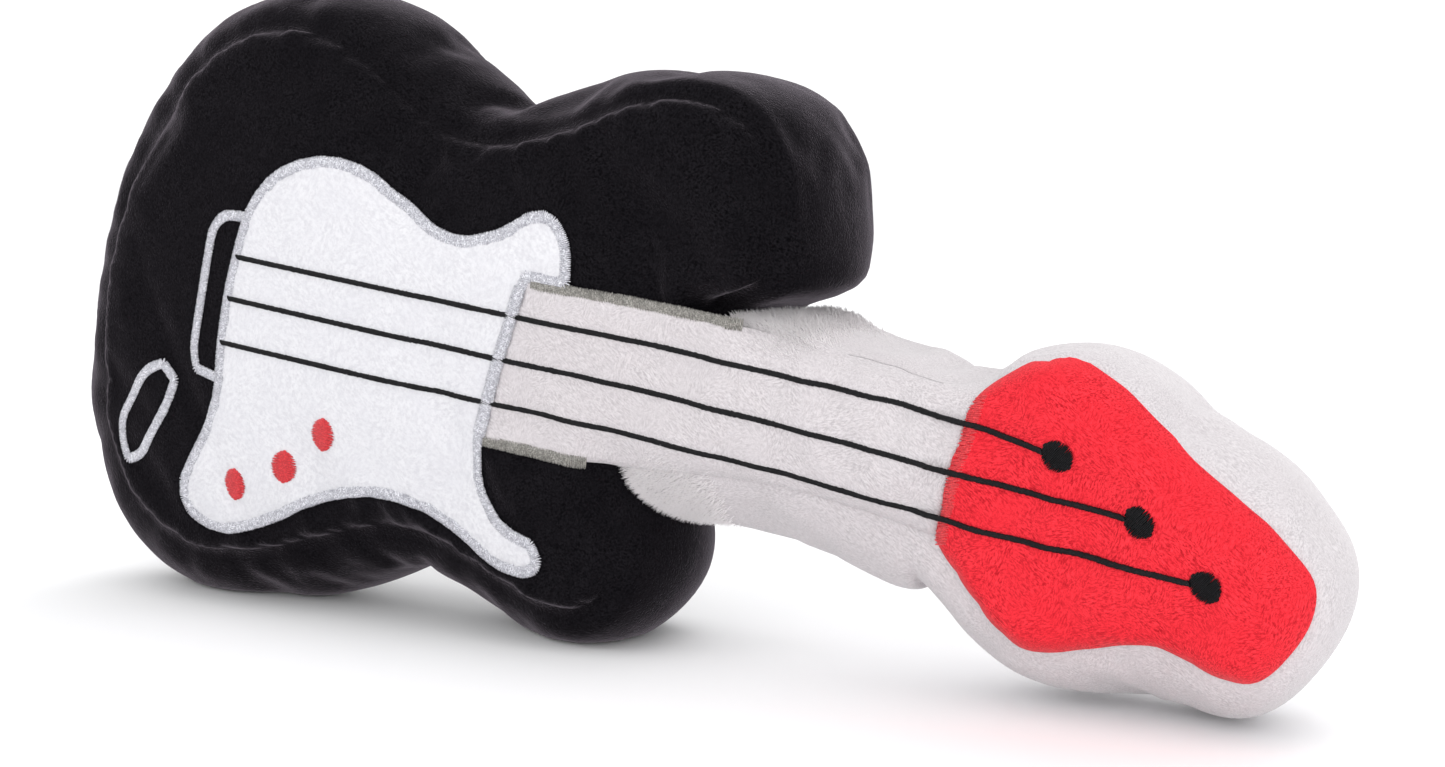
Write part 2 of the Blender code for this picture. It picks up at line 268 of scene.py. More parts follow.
class Finish:
    def __init__(self, name, **constants):
        self.material = bpy.data.materials.new(name)
        self.material.use_nodes = True
        self.tree = self.material.node_tree
        self.shader = self.tree.nodes["Principled BSDF"]
        for socket, value in constants.items():
            self.shader.inputs[socket.replace("_", " ")].default_value = value

    def add(self, kind, settings=None, values=None, output=0):
        node = self.tree.nodes.new(kind)
        for key, setting in (settings or {}).items():
            if key == "stops":
                while len(node.color_ramp.elements) < len(setting):
                    node.color_ramp.elements.new(0.5)
                for stop, (place, colour) in zip(node.color_ramp.elements, setting):
                    stop.position, stop.color = place, (*colour, 1)
            else:
                setattr(node, key, setting)
        for key, value in (values or {}).items():
            self.connect(value, node.inputs[key])
        return Value(self, node.outputs[output])

    def connect(self, value, socket):
        if isinstance(value, Value):
            self.tree.links.new(value.socket, socket)
        elif socket.type == "RGBA" and len(value) == 3:
            socket.default_value = (*value, 1)
        else:
            socket.default_value = value

    def mixColour(self, share, first, second, blend="MIX"):
        return self.add("ShaderNodeMix", {"data_type": "RGBA", "blend_type": blend},
                        {0: share, 6: first, 7: second}, output=2)

    def vector(self, operation, *values):
        output = 1 if operation in ("LENGTH", "DOT_PRODUCT", "DISTANCE") else 0
        places = dict(enumerate(values))
        if operation == "SCALE":
            places = {0: values[0], 3: values[1]}
        return self.add("ShaderNodeVectorMath", {"operation": operation}, places, output)

    def noise(self, where, scale, detail=2, roughness=0.5, output=0):
        return self.add("ShaderNodeTexNoise", None, {"Vector": where, "Scale": scale, "Detail": detail,
                                                     "Roughness": roughness}, output)

    def feed(self, **sockets):
        for name, value in sockets.items():
            self.connect(value, self.shader.inputs[name.replace("_", " ")])
        return self.material


def plushFinish(name, values):
    # short pile: swirled streaks where it has been stroked, darker roots and lighter tips
    finish = Finish(name, Sheen_Weight=values["sheen"], Sheen_Roughness=values["sheenRoughness"],
                    Sheen_Tint=(*values["sheenTint"], 1), Specular_IOR_Level=values["specular"])
    place = finish.add("ShaderNodeTexCoord", output=3)
    wander = finish.noise(place, values["wanderScale"], 2, output=1)
    loose = finish.vector("ADD", place, finish.vector("SCALE", wander, values["wander"]))
    streaks = None
    for number, angle in enumerate(values["napAngles"]):
        turned = finish.add("ShaderNodeVectorRotate", {"rotation_type": "Y_AXIS"},
                            {"Vector": loose, "Angle": angle})
        combed = finish.vector("MULTIPLY", turned, values["combed"])
        stroke = finish.noise(combed, values["pileScale"], 2, 0.6)
        if streaks is None:
            streaks = stroke
        else:
            shifted = finish.vector("ADD", place, (number * values["swirlShift"], 0, 0))
            patch = finish.noise(shifted, values["swirlScale"], 2).between(*values["swirlEdge"])
            streaks = streaks * (1 - patch) + stroke * patch
    tips = finish.noise(place, values["pileScale"] * values["tipScale"], 1)
    mottle = finish.noise(place, values["mottleScale"], 3, 0.6)
    height = streaks * values["streakShare"] + tips * (1 - values["streakShare"])
    shade = height.between(*values["pileEdge"])
    colour = finish.mixColour(shade, values["roots"], values["tips"])
    mottled = mottle.between(*values["mottleEdge"]) * values["mottle"]
    colour = finish.mixColour(mottled, colour, values["stroked"])
    bump = finish.add("ShaderNodeBump", None, {"Strength": values["bump"], "Distance": values["pileDepth"],
                                               "Height": height + mottle * values["mottleDepth"]})
    roughness = values["roughness"] - shade * values["tipShine"]
    return finish.feed(Base_Color=colour, Roughness=roughness, Normal=bump)


def threadFinish(name, values):
    # twisted embroidery thread with a soft shine
    finish = Finish(name, Sheen_Weight=values["sheen"], Specular_IOR_Level=values["specular"],
                    Sheen_Roughness=values["sheenRoughness"])
    place = finish.add("ShaderNodeTexCoord", output=3)
    grain = finish.noise(place, values["grain"], 2, 0.6)
    fade = finish.noise(place, values["grain"] * values["fadeScale"], 3, 0.7)
    colour = finish.mixColour(grain.between(*values["grainEdge"]), values["dark"], values["light"])
    faded = fade.between(*values["fadeEdge"]) * values["fade"]
    colour = finish.mixColour(faded, colour, values["dark"])
    bump = finish.add("ShaderNodeBump", None, {"Strength": values["bump"], "Distance": values["twistDepth"],
                                               "Height": grain})
    roughness = values["roughness"] + grain * values["grainRoughness"]
    return finish.feed(Base_Color=colour, Roughness=roughness, Normal=bump)


plush = dict(sheen=0.3, sheenRoughness=0.4, sheenTint=(1, 1, 1), specular=0.1, swirlScale=55,
             napAngles=(0.25, 1.25, -0.7), wander=0.0018, wanderScale=170, combed=(0.32, 1, 1),
             pileScale=2100, mottleScale=80, mottle=0.4, bump=0.45, pileDepth=0.0007, swirlShift=3.1,
             swirlEdge=(0.44, 0.56), tipScale=1.7, streakShare=0.75, pileEdge=(0.32, 0.66),
             mottleEdge=(0.35, 0.7), mottleDepth=0.4,
             roughness=0.95, tipShine=0.15)
blackPlush = plushFinish("blackPlush", plush | dict(
    roots=(0.0015, 0.0014, 0.0018), tips=(0.0105, 0.0096, 0.0115), stroked=(0.0034, 0.0031, 0.0040),
    sheen=0.26, sheenTint=(0.95, 0.84, 0.96), sheenRoughness=0.32, specular=0.010, combed=(0.75, 1, 1),
    pileScale=1500, mottle=0.35, bump=0.8, pileDepth=0.0005))
greyPlush = plushFinish("greyPlush", plush | dict(
    roots=(0.40, 0.372, 0.386), tips=(0.60, 0.568, 0.582), stroked=(0.52, 0.49, 0.505)))
redPlush = plushFinish("redPlush", plush | dict(
    roots=(0.34, 0.006, 0.012), tips=(0.86, 0.034, 0.050), stroked=(0.66, 0.018, 0.030), sheen=0.16,
    sheenTint=(1, 0.55, 0.55)))
whitePlush = plushFinish("whitePlush", plush | dict(
    roots=(0.54, 0.535, 0.565), tips=(0.65, 0.648, 0.67), stroked=(0.58, 0.577, 0.61), combed=(0.6, 1, 1),
    pileScale=900, bump=0.35, pileDepth=0.0004, sheen=0.2))
thread = dict(sheen=0.2, sheenRoughness=0.4, specular=0.6, grain=2600, roughness=0.34, grainRoughness=0.15,
              grainEdge=(0.35, 0.65), fadeScale=0.3, fadeEdge=(0.42, 0.62), fade=0.6, bump=0.5,
              twistDepth=0.0002)
silverThread = threadFinish("silverThread", thread | dict(dark=(0.27, 0.27, 0.31), light=(0.84, 0.84, 0.88)))
greyThread = threadFinish("greyThread", thread | dict(dark=(0.10, 0.095, 0.085), light=(0.40, 0.385, 0.355)))
blackThread = threadFinish("blackThread", thread | dict(
    sheen=0.0, specular=0.18, roughness=0.5, dark=(0.0015, 0.0015, 0.0020), light=(0.012, 0.012, 0.014)))
redThread = threadFinish("redThread", thread | dict(
    specular=0.5, roughness=0.4, dark=(0.42, 0.012, 0.02), light=(0.78, 0.05, 0.06)))
print("finishes ready")


def stuffedForm(name, outline, values, shapeIt=None):
    # two flat panels and the band between them, sewn along the outline
    ring = resample(outline, values["spacing"], soften=values.get("soften", 2), cornerAngle=181)
    area = sum(a.x * b.y - b.x * a.y for a, b in zip(ring, ring[1:] + ring[:1]))
    if area < 0:
        ring.reverse()
    count = len(ring)
    distance = distanceTo(ring)
    flat, triangles, sources = fillOutline(ring, values["spacing"])
    normals = []
    for i in range(count):
        way = ring[(i + 1) % count] - ring[i - 1]
        normals.append(Vector((way.y, -way.x)).normalized())
    for turn in range(values.get("soften", 2)):
        normals = [((normals[i - 1] + normals[i] * 2 + normals[(i + 1) % count]) / 4).normalized()
                   for i in range(count)]
    points = []
    for side in (1, -1):
        for point in flat:
            rise = 1 - exp(-distance(point.x, point.y) / values["crownReach"])
            points.append(Vector((point.x, point.y, side * (values["seamLevel"] + values["crown"] * rise))))
    faces = [tuple(face) for face in triangles]
    faces += [tuple(i + len(flat) for i in reversed(face)) for face in triangles]
    place = {source: i for i, source in enumerate(sources)}
    rows = [[place[i] for i in range(count)]]
    bandRows = values["bandRows"]
    for row in range(1, bandRows):
        turn = pi * row / bandRows
        swell = sin(turn) ** values["fullness"]
        level = values["seamLevel"] * (1 - 2 * row / bandRows)
        rows.append([])
        for i in range(count):
            point = ring[i] + normals[i] * values["bulge"](ring[i]) * swell
            rows[-1].append(len(points))
            points.append(Vector((point.x, point.y, level)))
    rows.append([place[i] + len(flat) for i in range(count)])
    for upper, lower in zip(rows, rows[1:]):
        for i in range(count):
            k = (i + 1) % count
            faces.append((upper[i], lower[i], lower[k], upper[k]))
    if shapeIt:
        points = [shapeIt(point) for point in points]
    form = makePiece(name, points, faces)
    faceOutwards(form)
    form["seam"] = rows[0] + rows[-1]
    seam = set(form["seam"])
    crease = form.data.attributes.new("crease_edge", "FLOAT", "EDGE")
    crease.data.foreach_set("value", [values["seamCrease"] * seam.issuperset(edge.vertices)
                                      for edge in form.data.edges])
    return form


clothValues = dict(quality=6, mass=0.25, shearShare=3, frames=20)


def inflate(form, values):
    # the stuffing pushes the cloth out, and no point may move further than the cap
    start = readPlaces(form.data)
    cloth = form.modifiers.new("stuffing", "CLOTH")
    settings = cloth.settings
    settings.quality = clothValues["quality"]
    settings.mass = clothValues["mass"]
    settings.tension_stiffness = values["stretch"]
    settings.compression_stiffness = values["stretch"]
    settings.shear_stiffness = values["stretch"] / clothValues["shearShare"]
    settings.bending_stiffness = values["bending"]
    settings.use_pressure = True
    settings.uniform_pressure_force = values["pressure"]
    settings.shrink_min = values["looseness"]
    held = form.vertex_groups.new(name="seam")
    held.add(list(form["seam"]), 1.0, "REPLACE")
    settings.vertex_group_mass = "seam"
    settings.effector_weights.gravity = 0
    for number in range(1, clothValues["frames"] + 1):
        scene.frame_set(number)
    evaluated = form.evaluated_get(bpy.context.evaluated_depsgraph_get())
    moved = readPlaces(evaluated.data) - start
    form.modifiers.clear()
    scene.frame_set(1)
    size = np.linalg.norm(moved, axis=1, keepdims=True) + 1e-9
    cap = values["cap"]
    writePlaces(form.data, start + moved / size * cap * np.tanh(size / cap))
    return form


def pullSeam(form, depth):
    # the stitched edge sinks into the pile
    places = readPlaces(form.data)
    for i in form["seam"]:
        places[i] -= np.array(form.data.vertices[i].normal) * depth
    writePlaces(form.data, places)


def subdivide(form, levels=1):
    modifier = form.modifiers.new("soft", "SUBSURF")
    modifier.levels = modifier.render_levels = levels
    return applyModifiers(form)


floorGap = 0.0004


def restOnFloor(form):
    # what would sink into the floor lies flat on it
    places = readPlaces(form.data)
    matrix = np.array(toWorld)
    heights = places @ matrix[2, :3] + matrix[2, 3]
    below = np.minimum(heights - floorGap, 0)
    writePlaces(form.data, places - below[:, None] * matrix[2, :3])


bodyBand = dict(upper=(-0.060, 0.030), end=(0.015, 0.075), horn=(0.195, 0.225), hornEdge=(0.036, 0.066),
                below=0.0170, lessAtHorn=0.0070, above=0.0095, hornTip=0.0045, hornRoot=0.0095, atEnd=0.0080)


def bodyBulge(point):
    # the lower edge carries the toy's weight and spreads more than the upper one
    upper = smoothStep(point.y, *bodyBand["upper"])
    end = 1 - smoothStep(point.x, *bodyBand["end"])
    horn = smoothStep(point.x, *bodyBand["horn"])
    shoulder = bodyBand["hornTip"] + bodyBand["hornRoot"] * (1 - smoothStep(point.y, *bodyBand["hornEdge"]))
    above = bodyBand["above"] * (1 - horn) + shoulder * horn
    below = bodyBand["below"] - bodyBand["lessAtHorn"] * horn
    return below * (1 - upper) + above * upper + bodyBand["atEnd"] * end


bodyShape = dict(spacing=0.0045, seamLevel=0.0310, crown=0.0020, crownReach=0.008, fullness=0.60,
                 bandRows=14, soften=3, seamDepth=0.0036, seamCrease=0.8, bulge=bodyBulge)
bodyStuffing = dict(pressure=4, stretch=12, bending=0.4, looseness=-0.03, cap=0.0065)
bodyBox = patternBox("body_front_panel")
neckBox = patternBox("neck_front_panel")
neckPanel = outlineOf("neck_front_panel")
headPanel = outlineOf("head_front_panel")
bodyPanel = outlineOf("body_front_panel")


tuck = dict(along=(0.232, 0.262), middle=0.002, halfWidth=0.036, softness=0.010, back=0.016, thinner=0.25)


def tuckUnderNeck(point):
    # the body's neck end is hidden in the neck
    inside = smoothStep(tuck["halfWidth"] - abs(point.y - tuck["middle"]), 0, tuck["softness"])
    share = smoothStep(point.x, *tuck["along"]) * inside
    return Vector((point.x - tuck["back"] * share, point.y, point.z * (1 - tuck["thinner"] * share)))


body = stuffedForm("bodyPlush", bodyPanel, bodyShape, tuckUnderNeck)
inflate(body, bodyStuffing)
pullSeam(body, bodyShape["seamDepth"])
subdivide(body)
restOnFloor(body)
print("body stuffed:", len(body.data.vertices), "points")


def joinOutlines(*loops):
    # one outline round several overlapping ones
    points = [point for loop in loops for point in loop]
    starts = np.cumsum([0] + [len(loop) for loop in loops])
    made = delaunay_2d_cdt(points, [], [list(range(a, b)) for a, b in zip(starts, starts[1:])], 1, 1e-7)
    sides = {(face[i - 1], face[i]) for face in made[2] for i in range(len(face))}
    following = {a: b for a, b in sides if (b, a) not in sides}
    point = next(iter(following))
    order = []
    while point in following:
        order.append(Vector(made[0][point]))
        point = following.pop(point)
    return order


neckShape = dict(rootUpper=(0.250, 0.0265), rootLower=(0.226, -0.0270), pinchUpper=0.0008, pinchLower=0.0045,
                 overlap=0.004, nutInset=0.002, steps=12)
greyShape = dict(spacing=0.0042, seamLevel=0.0310, crown=0.0020, crownReach=0.008, fullness=0.60,
                 bandRows=14, soften=4, seamDepth=0.0022, seamCrease=0.6)
greyStuffing = dict(pressure=4, stretch=12, bending=0.35, looseness=-0.04, cap=0.0050)
nutBox = patternBox("nut_stitching")
headBox = patternBox("head_front_panel")


def neckOutline():
    # the neck panel's long seams, drawn in a little at mid length
    upperNut = Vector((nutBox[1].x - neckShape["nutInset"], nutBox[1].y))
    lowerNut = Vector((nutBox[0].x, nutBox[0].y))
    upper, lower = [], []
    for i in range(neckShape["steps"] + 1):
        share = i / neckShape["steps"]
        draw = sin(pi * share)
        upper.append(Vector(neckShape["rootUpper"]).lerp(upperNut, share)
                     - Vector((0, neckShape["pinchUpper"] * draw)))
        lower.append(Vector(neckShape["rootLower"]).lerp(lowerNut, share)
                     + Vector((0, neckShape["pinchLower"] * draw)))
    reach = Vector((neckShape["overlap"], 0))
    return lower + [lower[-1] + reach, upper[-1] + reach] + upper[::-1]


neckSeams = neckOutline()
greyOutline = joinOutlines(neckSeams, headPanel)


# a hump is a place along the neck and its reach, with the rise beside it
greyBand = dict(upper=(-0.02, 0.02), head=(0.310, 0.365), headShift=0.015, sagging=(0.245, 0.335),
                neckBelow=0.0175, sag=0.0100, neckAbove=0.0005, rootHump=(0.270, 0.014), rootRise=0.0025,
                headBelow=0.0150, headAbove=0.0045, lowerHump=(0.402, 0.022), lowerRise=0.0045,
                upperHump=(0.418, 0.024), upperRise=0.0050, farEnd=(0.020, 0.004), lessAtFarEnd=0.0040)


def hump(x, middle, reach):
    return exp(-((x - middle) / reach) ** 2)


def greyBulge(point):
    # how far the side band stands out from its seam
    band = greyBand
    upper = smoothStep(point.y, *band["upper"])
    shift = band["headShift"] * upper
    onHead = smoothStep(point.x, band["head"][0] + shift, band["head"][1] - shift)
    sag = band["neckBelow"] + band["sag"] * smoothStep(point.x, *band["sagging"])
    neck = sag * (1 - upper) + band["neckAbove"] * upper
    neck += hump(point.x, *band["rootHump"]) * band["rootRise"] * upper
    head = band["headBelow"] * (1 - upper) + band["headAbove"] * upper
    head += band["lowerRise"] * (hump(point.x, *band["lowerHump"]) * (1 - upper))
    head += band["upperRise"] * (hump(point.x, *band["upperHump"]) * upper)
    farEnd = [headBox[1].x - inset for inset in band["farEnd"]]
    head -= band["lessAtFarEnd"] * smoothStep(point.x, *farEnd)
    return neck * (1 - onHead) + head * onHead


taper = dict(head=(0.33, 0.36), farEnd=(0.370, 0.450), upper=(-0.01, 0.03), shorter=0.24, lower=0.06,
             lowerOnHead=0.10)


def taperHead(point):
    # the head's far end is thinner behind than in front
    depth = greyShape["seamLevel"] - point.z
    shorter = taper["shorter"] * depth * smoothStep(point.x, *taper["farEnd"])
    lower = taper["lower"] + taper["lowerOnHead"] * smoothStep(point.x, *taper["head"])
    lower *= depth
    return Vector((point.x - shorter, point.y - lower * smoothStep(point.y, *taper["upper"]), point.z))


grey = stuffedForm("greyPlush", greyOutline, greyShape | dict(bulge=greyBulge), taperHead)
inflate(grey, greyStuffing)
pullSeam(grey, greyShape["seamDepth"])
subdivide(grey)
restOnFloor(grey)
print("neck and head stuffed:", len(grey.data.vertices), "points")

# The front's relief, read from above on a grid, is what patches and stitches follow.
reliefStep = 0.0015
reliefLow = Vector((-0.03, -0.12))
reliefSize = (340, 160)
reliefLowest = 0.02
reliefAbove = 0.2


def castRelief(*forms):
    trees = [BVHTree.FromPolygons([point.co for point in form.data.vertices],
                                  [face.vertices[:] for face in form.data.polygons]) for form in forms]
    heights = np.full(reliefSize, reliefLowest)
    for i in range(reliefSize[0]):
        for k in range(reliefSize[1]):
            start = Vector((reliefLow.x + i * reliefStep, reliefLow.y + k * reliefStep, reliefAbove))
            for tree in trees:
                hit = tree.ray_cast(start, Vector((0, 0, -1)))[0]
                if hit and hit.z > heights[i, k]:
                    heights[i, k] = hit.z
    return heights


def blurred(heights, turns):
    for turn in range(turns):
        for axis in (0, 1):
            heights = (np.roll(heights, 1, axis) + heights * 2 + np.roll(heights, -1, axis)) / 4
    return heights


def spread(heights, cells, choose):
    for axis in (0, 1):
        heights = choose.reduce([np.roll(heights, shift, axis) for shift in range(-cells, cells + 1)])
    return heights


reliefRaw = castRelief(body, grey)
# where the neck leaves the body the cloth spans the dip between them
junction = dict(middle=0.245, reach=0.038, gap=7, turns=10, above=0.0003)
columns = reliefLow.x + np.arange(reliefSize[0]) * reliefStep
evening = np.exp(-((columns - junction["middle"]) / junction["reach"]) ** 4)[:, None]
spanned = spread(spread(reliefRaw, junction["gap"], np.maximum), junction["gap"], np.minimum)
spanned = np.maximum(blurred(spanned, junction["turns"]), blurred(reliefRaw, 1) + junction["above"])
reliefHeights = blurred(reliefRaw * (1 - evening) + spanned * evening, 2)
reliefSlopes = np.gradient(reliefHeights, reliefStep)


def readGrid(grid, x, y):
    u = (x - reliefLow.x) / reliefStep
    v = (y - reliefLow.y) / reliefStep
    i, k = int(u), int(v)
    u, v = u - i, v - k
    return ((grid[i, k] * (1 - u) + grid[i + 1, k] * u) * (1 - v)
            + (grid[i, k + 1] * (1 - u) + grid[i + 1, k + 1] * u) * v)


def relief(x, y):
    return readGrid(reliefHeights, x, y)


def upward(x, y):
    return Vector((-readGrid(reliefSlopes[0], x, y), -readGrid(reliefSlopes[1], x, y), 1)).normalized()


def sewnPatch(name, outline, values, finish):
    # a thin pile cloth laid on the front, with a rounded edge
    ring = resample(outline, values["edgeStep"], soften=values["soften"])
    distance = distanceTo(ring)
    flat, triangles, sources = fillOutline(ring, values["spacing"])
    top, under = [], []
    for point in flat:
        inward = min(1, distance(point.x, point.y) / values["edgeRound"])
        ground = relief(point.x, point.y)
        pile = noise.noise(Vector((point.x, point.y, 0)) * values["unevenScale"]) * values["unevenness"]
        rise = values["thickness"] * sqrt(1 - (1 - inward) ** 2)
        top.append(Vector((point.x, point.y, ground + values["gap"] + rise + pile * inward)))
        under.append(Vector((point.x, point.y, ground - values["sunk"])))
    faces = [tuple(face) for face in triangles]
    faces += [tuple(i + len(flat) for i in reversed(face)) for face in triangles]
    edges = {(face[i - 1], face[i]) for face in triangles for i in range(3)}
    for a, b in edges:
        if (b, a) not in edges:
            faces.append((b, a, a + len(flat), b + len(flat)))
    patch = makePiece(name, top + under, faces, finish)
    faceOutwards(patch)
    return patch


patchShape = dict(edgeStep=0.0018, spacing=0.0022, edgeRound=0.0020, thickness=0.0012, gap=0.0002,
                  sunk=0.0012, unevenness=0.00025, unevenScale=260, soften=3)
pickguardOutline = outlineOf("pickguard_applique")
pickguard = sewnPatch("pickguardApplique", pickguardOutline, patchShape, whitePlush)
tongueShape = patchShape | dict(thickness=0.0013, cornerSlope=0.7, nutReach=0.002)


def neckPatchOutline():
    # from the pickguard to the nut: the tongue on the body, then the neck's own seams
    slope, reach = tongueShape["cornerSlope"], tongueShape["nutReach"]
    lowerCorner = min(neckPanel, key=lambda point: point.x * slope + point.y)
    upperCorner = min(neckPanel, key=lambda point: point.x - point.y * slope)
    lower = [point for point in neckSeams if point.y < 0 and point.x < nutBox[0].x + reach]
    upper = [point for point in neckSeams if point.y > 0 and point.x < nutBox[1].x]
    lower.sort(key=lambda point: point.x)
    upper.sort(key=lambda point: -point.x)
    return [lowerCorner] + lower + upper + [upperCorner]


neckPatch = sewnPatch("neckFrontPanel", neckPatchOutline(), tongueShape, greyPlush)
headShape = patchShape | dict(edgeStep=0.0022, edgeRound=0.0045, thickness=0.0026)
headPatch = sewnPatch("headFrontPanel", headPanel, headShape, redPlush)
print("patches laid")


def newTree(name, floats):
    # an empty Geometry Nodes tree with named inputs
    tree = bpy.data.node_groups.new(name, "GeometryNodeTree")
    sockets = {"Geometry": "Geometry"} | dict.fromkeys(floats, "Float")
    sockets |= {"Seed": "Int", "Finish": "Material"}
    for label, kind in sockets.items():
        tree.interface.new_socket(label, in_out="INPUT", socket_type="NodeSocket" + kind)
    tree.interface.new_socket("Geometry", in_out="OUTPUT", socket_type="NodeSocketGeometry")
    return tree


def runTree(piece, tree, values, finish):
    # the tree's result becomes the piece's plain mesh
    modifier = piece.modifiers.new("made", "NODES")
    modifier.node_group = tree
    inputs = {item.name: item.identifier for item in tree.interface.items_tree if item.in_out == "INPUT"}
    for label, value in (values | {"Finish": finish}).items():
        modifier[inputs[label]] = value
    return applyModifiers(piece)


def nodeMaker(tree):
    def add(kind, values=None, settings=None):
        node = tree.nodes.new(kind)
        for key, setting in (settings or {}).items():
            setattr(node, key, setting)
        for key, value in (values or {}).items():
            if isinstance(value, bpy.types.NodeSocket):
                tree.links.new(value, node.inputs[key])
            else:
                node.inputs[key].default_value = value
        return node

    def math(operation, *values):
        return add("ShaderNodeMath", dict(enumerate(values)), {"operation": operation}).outputs[0]

    def deliver(instances, finish):
        made = add("GeometryNodeRealizeInstances", {0: instances}).outputs[0]
        made = add("GeometryNodeSetShadeSmooth", {"Geometry": made}).outputs[0]
        made = add("GeometryNodeSetMaterial", {"Geometry": made, "Material": finish}).outputs[0]
        tree.links.new(made, tree.nodes.new("NodeGroupOutput").inputs[0])

    return add, math, deliver


stitchShape = dict(uneven=(0.92, 1.05), shortest=0.02, wobbleSeed=7.0, segments=6, rings=5)


def makeSatinTree():
    # flat stitches side by side along a path; Round shortens them towards the path's ends
    tree = newTree("satinStitch", ("Pitch", "Width", "Thread", "Height", "Slant", "Round", "Wobble"))
    add, math, deliver = nodeMaker(tree)
    given = tree.nodes.new("NodeGroupInput").outputs
    path = add("GeometryNodeMeshToCurve", {"Mesh": given["Geometry"]}).outputs[0]
    path = add("GeometryNodeResampleCurve", {"Curve": path, "Length": given["Pitch"]},
               {"mode": "LENGTH"}).outputs[0]
    share = add("GeometryNodeSplineParameter").outputs["Factor"]
    offCentre = math("SUBTRACT", math("MULTIPLY", share, 2.0), 1.0)
    shrink = math("MULTIPLY", given["Round"], math("POWER", offCentre, 2.0))
    reach = math("SQRT", math("MAXIMUM", math("SUBTRACT", 1.0, shrink), stitchShape["shortest"]))
    shortest, longest = stitchShape["uneven"]
    uneven = add("FunctionNodeRandomValue", {2: shortest, 3: longest, "Seed": given["Seed"]},
                 {"data_type": "FLOAT"})
    reach = math("MULTIPLY", reach, uneven.outputs[1])
    size = add("ShaderNodeCombineXYZ", {0: math("MULTIPLY", math("MULTIPLY", given["Width"], 0.5), reach),
                                        1: math("MULTIPLY", given["Thread"], 0.5),
                                        2: math("MULTIPLY", given["Height"], 0.5)}).outputs[0]
    up = add("GeometryNodeInputNamedAttribute", {"Name": "up"}, {"data_type": "FLOAT_VECTOR"}).outputs[0]
    tangent = add("GeometryNodeInputTangent").outputs[0]
    facing = add("FunctionNodeAxesToRotation", {0: up, 1: tangent},
                 {"primary_axis": "Z", "secondary_axis": "Y"})
    wobbleSeed = math("ADD", given["Seed"], stitchShape["wobbleSeed"])
    wobble = add("FunctionNodeRandomValue", {2: -1.0, 3: 1.0, "Seed": wobbleSeed}, {"data_type": "FLOAT"})
    turn = math("ADD", given["Slant"], math("MULTIPLY", wobble.outputs[1], given["Wobble"]))
    turn = add("FunctionNodeAxisAngleToRotation", {"Axis": (0, 0, 1), "Angle": turn}).outputs[0]
    facing = add("FunctionNodeRotateRotation", {0: facing.outputs[0], 1: turn}, {"rotation_space": "LOCAL"})
    stitch = add("GeometryNodeMeshUVSphere", {"Segments": stitchShape["segments"],
                                              "Rings": stitchShape["rings"], "Radius": 1.0}).outputs[0]
    lying = add("GeometryNodeTransform", {"Geometry": stitch, "Rotation": Euler((0, pi / 2, 0))}).outputs[0]
    stitches = add("GeometryNodeInstanceOnPoints", {"Points": path, "Instance": lying, "Scale": size,
                                                    "Rotation": facing.outputs[0]}).outputs[0]
    deliver(stitches, given["Finish"])
    return tree


satinTree = makeSatinTree()
satin = dict(Pitch=0.00056, Width=0.0042, Thread=0.00070, Height=0.0013, Slant=0.0, Round=0.0, Wobble=0.05,
             Seed=3)
pieces = {}


def embroider(name, points, lift, finish, closed=False, **changes):
    # satin stitches along a line on the front
    line = resample(points, 0.001, closed, cornerAngle=181)
    mesh = bpy.data.meshes.new(name)
    places = [(point.x, point.y, relief(point.x, point.y) + lift) for point in line]
    links = [(i, i + 1) for i in range(len(line) - 1)] + ([(len(line) - 1, 0)] if closed else [])
    mesh.from_pydata(places, links, [])
    up = mesh.attributes.new("up", "FLOAT_VECTOR", "POINT")
    up.data.foreach_set("vector", [k for point in line for k in upward(point.x, point.y)])
    piece = bpy.data.objects.new(name, mesh)
    scene.collection.objects.link(piece)
    pieces[name] = runTree(piece, satinTree, satin | changes, finish)


def shareOfBody(x, y):
    # x as a share of the body's length, y as a share of half its width
    return Vector((bodyBox[0].x + x * (bodyBox[1].x - bodyBox[0].x), y * bodyBox[1].y))


def rounded(points, step=0.003, soften=3, closed=False):
    return resample(points, step, closed, soften)


onPatch = patchShape["thickness"] + 0.0003
onEdge = onPatch - 0.0004
onPlush = 0.0004
bridge = dict(path=[(0.268, 0.300), (0.225, 0.293), (0.208, 0.235), (0.189, -0.215), (0.196, -0.285),
                    (0.232, -0.300)], step=0.002, soften=2, Width=0.0040)
jack = dict(path=[(0.137, -0.300), (0.158, -0.350), (0.152, -0.430), (0.100, -0.680), (0.078, -0.700),
                  (0.062, -0.640), (0.066, -0.530), (0.095, -0.390), (0.112, -0.325)], Width=0.0040)
knob = dict(shift=(0.0020, 0.0006, 0), radius=0.0055, width=1.9, seed=20,
            stitch=dict(Round=1.0, Pitch=0.00044, Height=0.0016))
neckEnd = dict(inset=0.0020, lift=0.0003, Width=0.0050)
neckEdge = dict(inset=0.0012, past=0.003, short=0.002, stitch=dict(Width=0.0046, Seed=41))
nut = dict(inset=0.0022, past=0.001, lift=0.0010,
           stitch=dict(Width=0.0052, Slant=0.35, Wobble=0.25, Seed=51))
tuner = dict(radius=0.0047, turn=-0.6, lift=0.0004, seed=60,
             stitch=dict(Round=1.0, Pitch=0.00044, Height=0.0022))
string = dict(step=0.002, soften=8, climb=(0.008, 0.001), lift=0.0004, seed=70,
              stitch=dict(Width=0.0024, Pitch=0.00044, Slant=0.75, Wobble=0.15, Thread=0.00085,
                          Height=0.0017))

